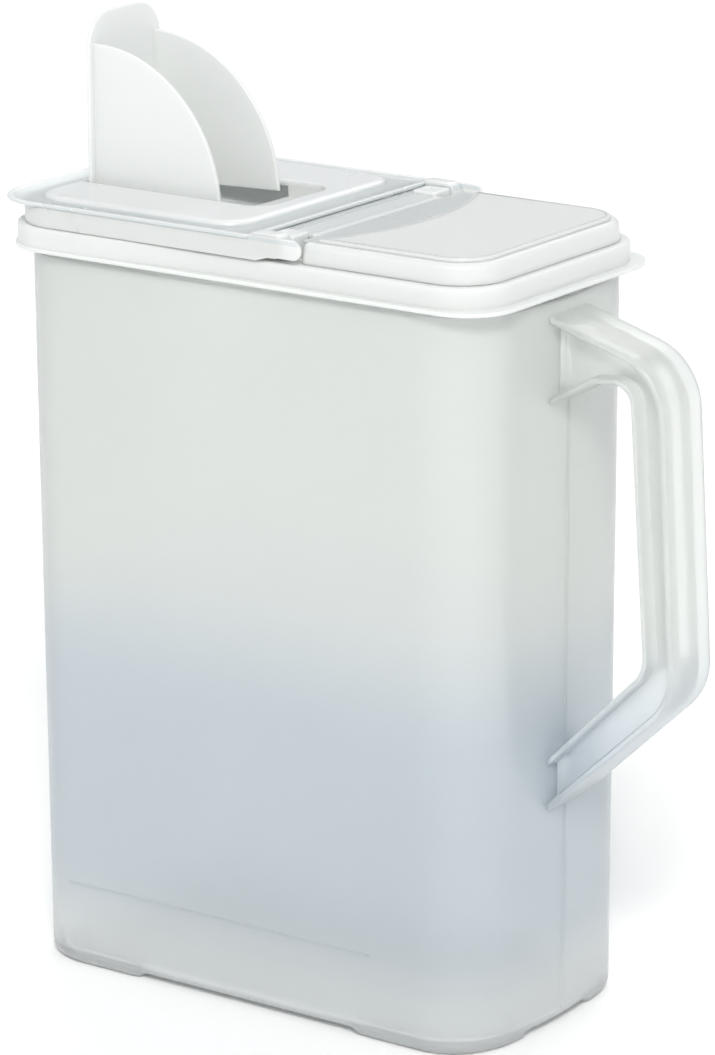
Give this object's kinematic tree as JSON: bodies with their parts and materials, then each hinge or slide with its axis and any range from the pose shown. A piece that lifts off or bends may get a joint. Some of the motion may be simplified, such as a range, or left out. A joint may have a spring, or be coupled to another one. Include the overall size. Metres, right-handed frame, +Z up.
{
  "type": "cereal dispenser",
  "caption": "Tall translucent food storage container with a carrying handle, a press-on lid, a flip-up filling lid and a swing-up pouring spout.",
  "frame": {"origin": "on the surface the dispenser stands on, under the middle of its whole outline, handle included", "axes": "+X towards the handle, -X towards the pouring end, +Y across the width, +Z up"},
  "size_m": [0.2631, 0.116, 0.35],
  "materials": {
    "frosted_polypropylene": "translucent natural polypropylene, lightly frosted, smooth moulded",
    "white_polypropylene": "opaque white polypropylene, satin gloss",
    "clear_polypropylene": "clearer translucent polypropylene, satin gloss"
  },
  "bodies": {
    "container": {"container_tub": "frosted_polypropylene", "container_neck": "frosted_polypropylene", "corner_feet": "frosted_polypropylene", "handle_outer_strap": "frosted_polypropylene", "handle_core": "frosted_polypropylene", "handle_inner_strap": "frosted_polypropylene"},
    "lid_base": {"lid_collar": "white_polypropylene", "filling_deck": "white_polypropylene", "fixed_cover": "white_polypropylene", "fixed_cover_panel": "white_polypropylene", "hinge_bar": "white_polypropylene", "hinge_lugs": "white_polypropylene", "hinge_pins": "white_polypropylene"},
    "flip_lid": {"flip_lid_panel": "clear_polypropylene", "flip_lid_pad": "clear_polypropylene", "flip_lid_skirt": "clear_polypropylene", "flip_lid_seal_lip": "clear_polypropylene", "hinge_knuckles": "clear_polypropylene", "hinge_tails": "clear_polypropylene", "finger_recess": "white_polypropylene", "spout_bosses": "clear_polypropylene"},
    "spout": {"spout_plate": "white_polypropylene", "spout_cheek_front": "white_polypropylene", "spout_cheek_back": "white_polypropylene", "spout_pivot_rod": "white_polypropylene"}
  },
  "joints": [
    {"name": "lid_lift", "type": "slide", "parent": "container", "child": "lid_base", "axis": [0, 0, 1], "range_m": [0, 0.08]},
    {"name": "flip_lid_hinge", "type": "hinge", "parent": "lid_base", "child": "flip_lid", "pos_m": [-0.00505, 0, 0.2845], "axis": [0, 1, 0], "range_deg": [0, 110]},
    {"name": "spout_hinge", "type": "hinge", "parent": "flip_lid", "child": "spout", "pos_m": [-0.11105, 0, 0.2835], "axis": [0, 1, 0], "range_deg": [0, 90]}
  ]
}
